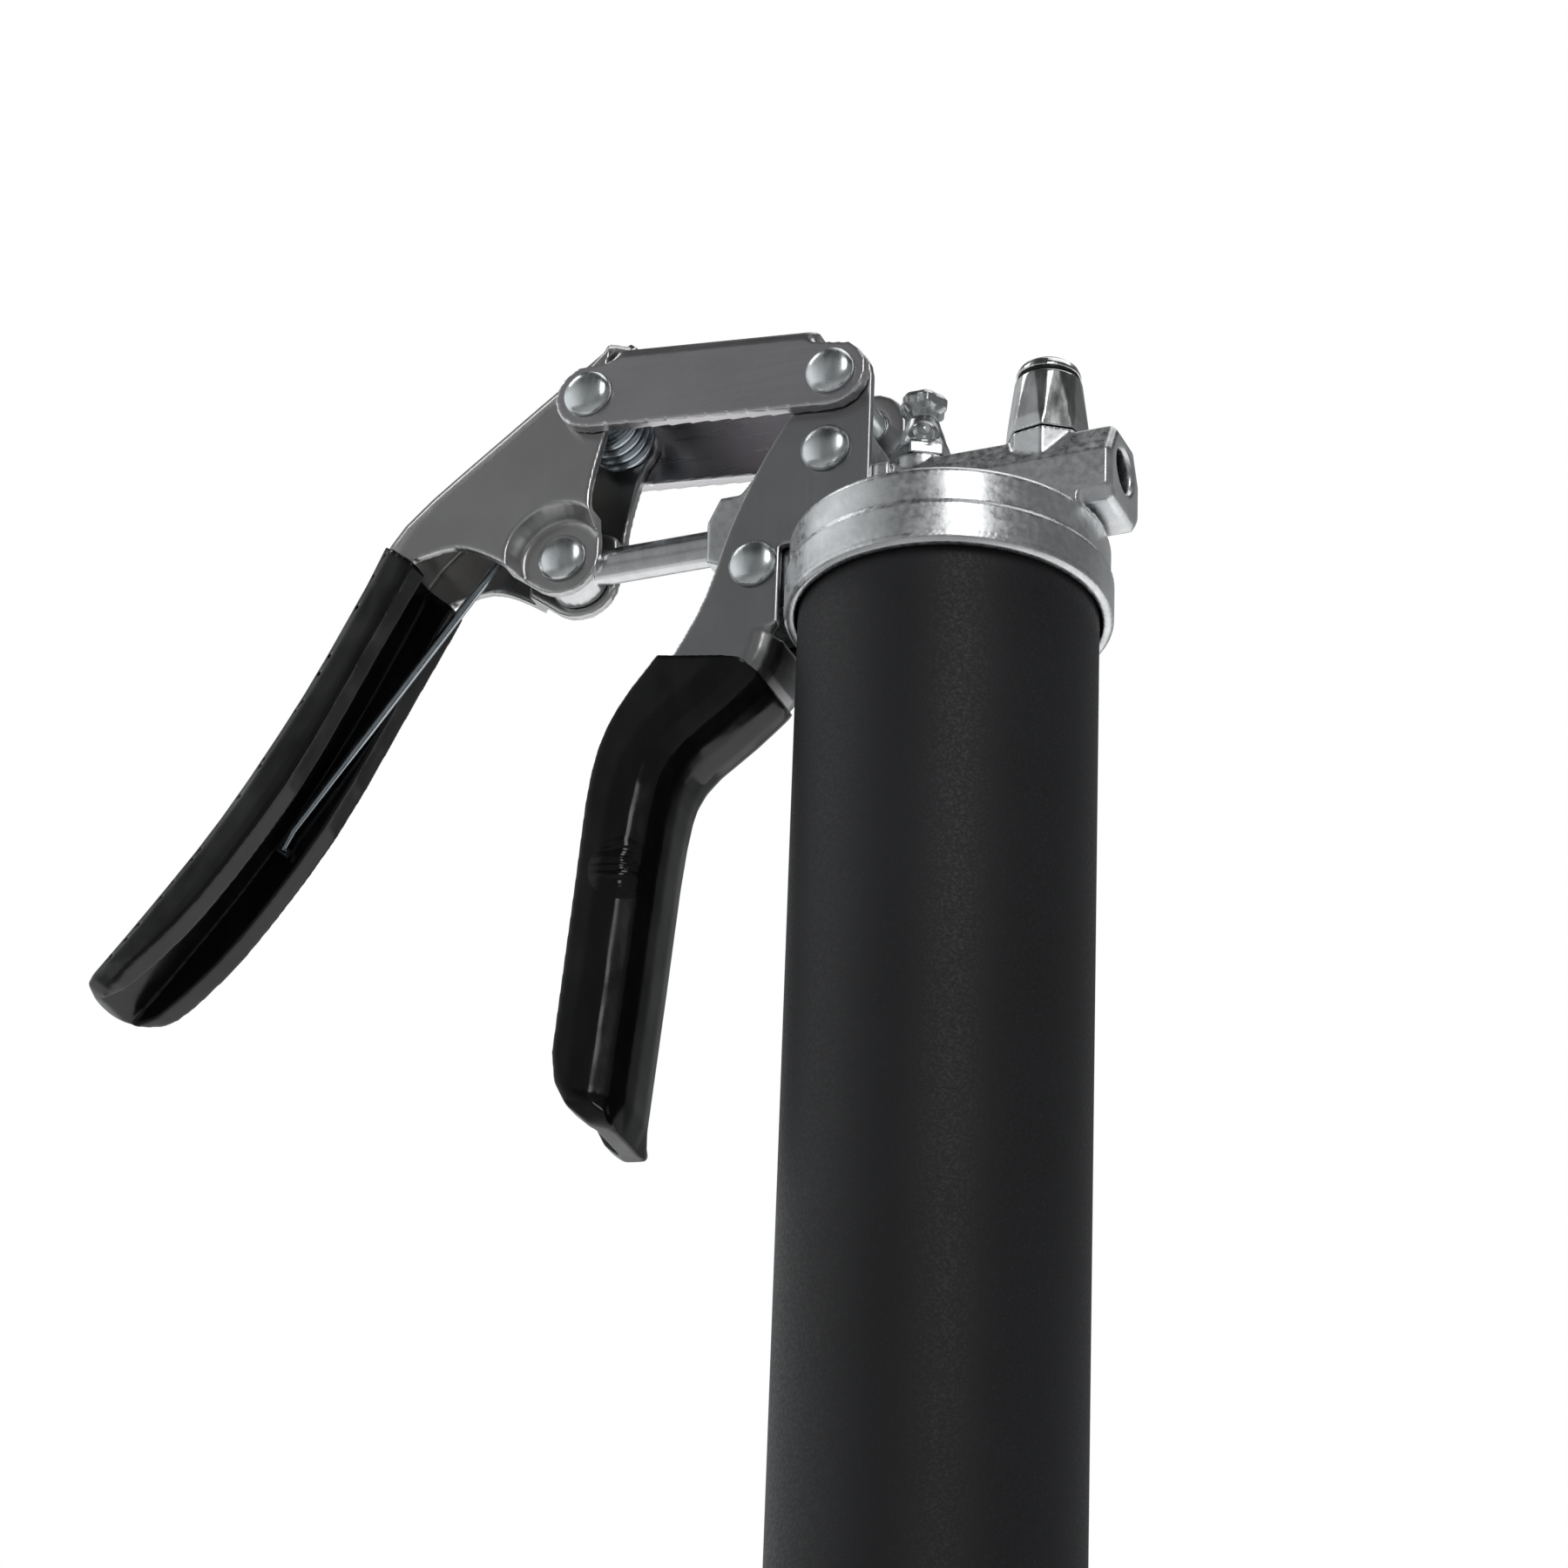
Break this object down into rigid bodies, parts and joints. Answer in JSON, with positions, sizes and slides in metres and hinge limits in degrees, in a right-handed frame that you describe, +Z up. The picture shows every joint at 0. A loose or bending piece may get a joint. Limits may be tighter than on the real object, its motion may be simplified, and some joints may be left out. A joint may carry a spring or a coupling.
{
  "type": "grease gun",
  "caption": "Pistol-grip grease gun: a long barrel hangs from a cast head, and squeezing the linked lever handle drives a plunger that pushes grease out of the side outlet.",
  "frame": {"origin": "middle of the flat foot of the pull handle, on the barrel's axis", "axes": "+Z up along the barrel towards the head, +X from the handles towards the outlet, +Y completes the right-handed frame"},
  "size_m": [0.2091, 0.0624, 0.338],
  "materials": {
    "die_cast": "die-cast metal, plated pale silver with a faint green cast",
    "zinc_sheet": "pressed sheet steel, dull nickel and zinc plate with bright cut edges",
    "bright_steel": "bright zinc plate",
    "plunger_steel": "ground steel rod",
    "spring_steel": "blue-grey zinc plated spring wire",
    "black_vinyl": "glossy dipped vinyl",
    "black_paint": "fine matt powder coat",
    "cap_steel": "zinc plated pressed steel",
    "black_rubber": "moulded rubber",
    "black_plastic": "moulded plastic"
  },
  "bodies": {
    "head": {"head_casting": "die_cast", "fixed_handle": "zinc_sheet", "fixed_grip": "black_vinyl", "head_rivet_upper": "bright_steel", "head_rivet_lower": "bright_steel", "plunger_seal": "black_rubber", "seal_retainer": "bright_steel", "check_spring": "spring_steel", "check_retainer": "bright_steel", "filler_fitting": "bright_steel", "filler_seal": "black_rubber", "bleed_body": "bright_steel", "head_gasket": "black_rubber"},
    "link": {"top_link": "zinc_sheet", "link_rivet_lever": "bright_steel", "link_rivet_head": "bright_steel"},
    "lever": {"lever": "zinc_sheet", "lever_grip": "black_vinyl", "plunger_rivet": "bright_steel", "spring_bush": "bright_steel", "return_spring": "spring_steel"},
    "plunger": {"plunger": "plunger_steel"},
    "barrel": {"barrel_tube": "black_paint", "end_cap": "cap_steel", "rod_bush": "cap_steel", "follower_spring": "spring_steel"},
    "rod_lock": {"rod_lock": "cap_steel"},
    "follower": {"follower_rod": "plunger_steel", "follower_plate": "cap_steel", "follower_seal": "black_rubber", "follower_nut": "cap_steel", "pull_handle": "black_plastic"},
    "bleed_cap": {"bleed_cap": "bright_steel"},
    "check_ball": {"check_ball": "plunger_steel"},
    "poppet": {"filler_poppet": "bright_steel"}
  },
  "joints": [
    {"name": "lever_squeeze", "type": "hinge", "parent": "link", "child": "lever", "pos_m": [-0.0711, 0, 0.3211], "axis": [0, -1, 0], "range_deg": [0, 32], "stiffness_Nm_per_rad": 0.8, "springref_deg": -28.65},
    {"name": "link_swing", "type": "hinge", "parent": "head", "child": "link", "pos_m": [-0.0204, 0, 0.3163], "axis": [0, -1, 0], "range_deg": [0, 0.7]},
    {"name": "plunger_slide", "type": "slide", "parent": "head", "child": "plunger", "axis": [1, 0, 0], "range_m": [0, 0.0182]},
    {"name": "check_ball_lift", "type": "slide", "parent": "head", "child": "check_ball", "axis": [1, 0, 0], "range_m": [0, 0.0012], "stiffness_N_per_m": 200, "springref_m": -0.002},
    {"name": "poppet_press", "type": "slide", "parent": "head", "child": "poppet", "axis": [0, 0, -1], "range_m": [0, 0.0015], "stiffness_N_per_m": 300, "springref_m": -0.003},
    {"name": "bleed_turn", "type": "hinge", "parent": "head", "child": "bleed_cap", "pos_m": [-0.0062, 0, 0.312], "axis": [0, 0, 1], "range_deg": [0, 360]},
    {"name": "barrel_turn", "type": "hinge", "parent": "head", "child": "barrel", "pos_m": [0, 0, 0.264], "axis": [0, 0, 1], "continuous": true},
    {"name": "follower_pull", "type": "slide", "parent": "barrel", "child": "follower", "axis": [0, 0, -1], "range_m": [0, 0.185], "stiffness_N_per_m": 250, "springref_m": -0.12, "deforming": ["follower_spring"]},
    {"name": "rod_lock_slide", "type": "slide", "parent": "barrel", "child": "rod_lock", "axis": [1, 0, 0], "range_m": [0, 0.002], "stiffness_N_per_m": 600, "springref_m": -0.002}
  ],
  "couplings": [
    {"joint": "link_swing", "follows": "lever_squeeze", "ratio": 0.02},
    {"joint": "plunger_slide", "follows": "lever_squeeze", "m_per_rad": 0.03245}
  ]
}
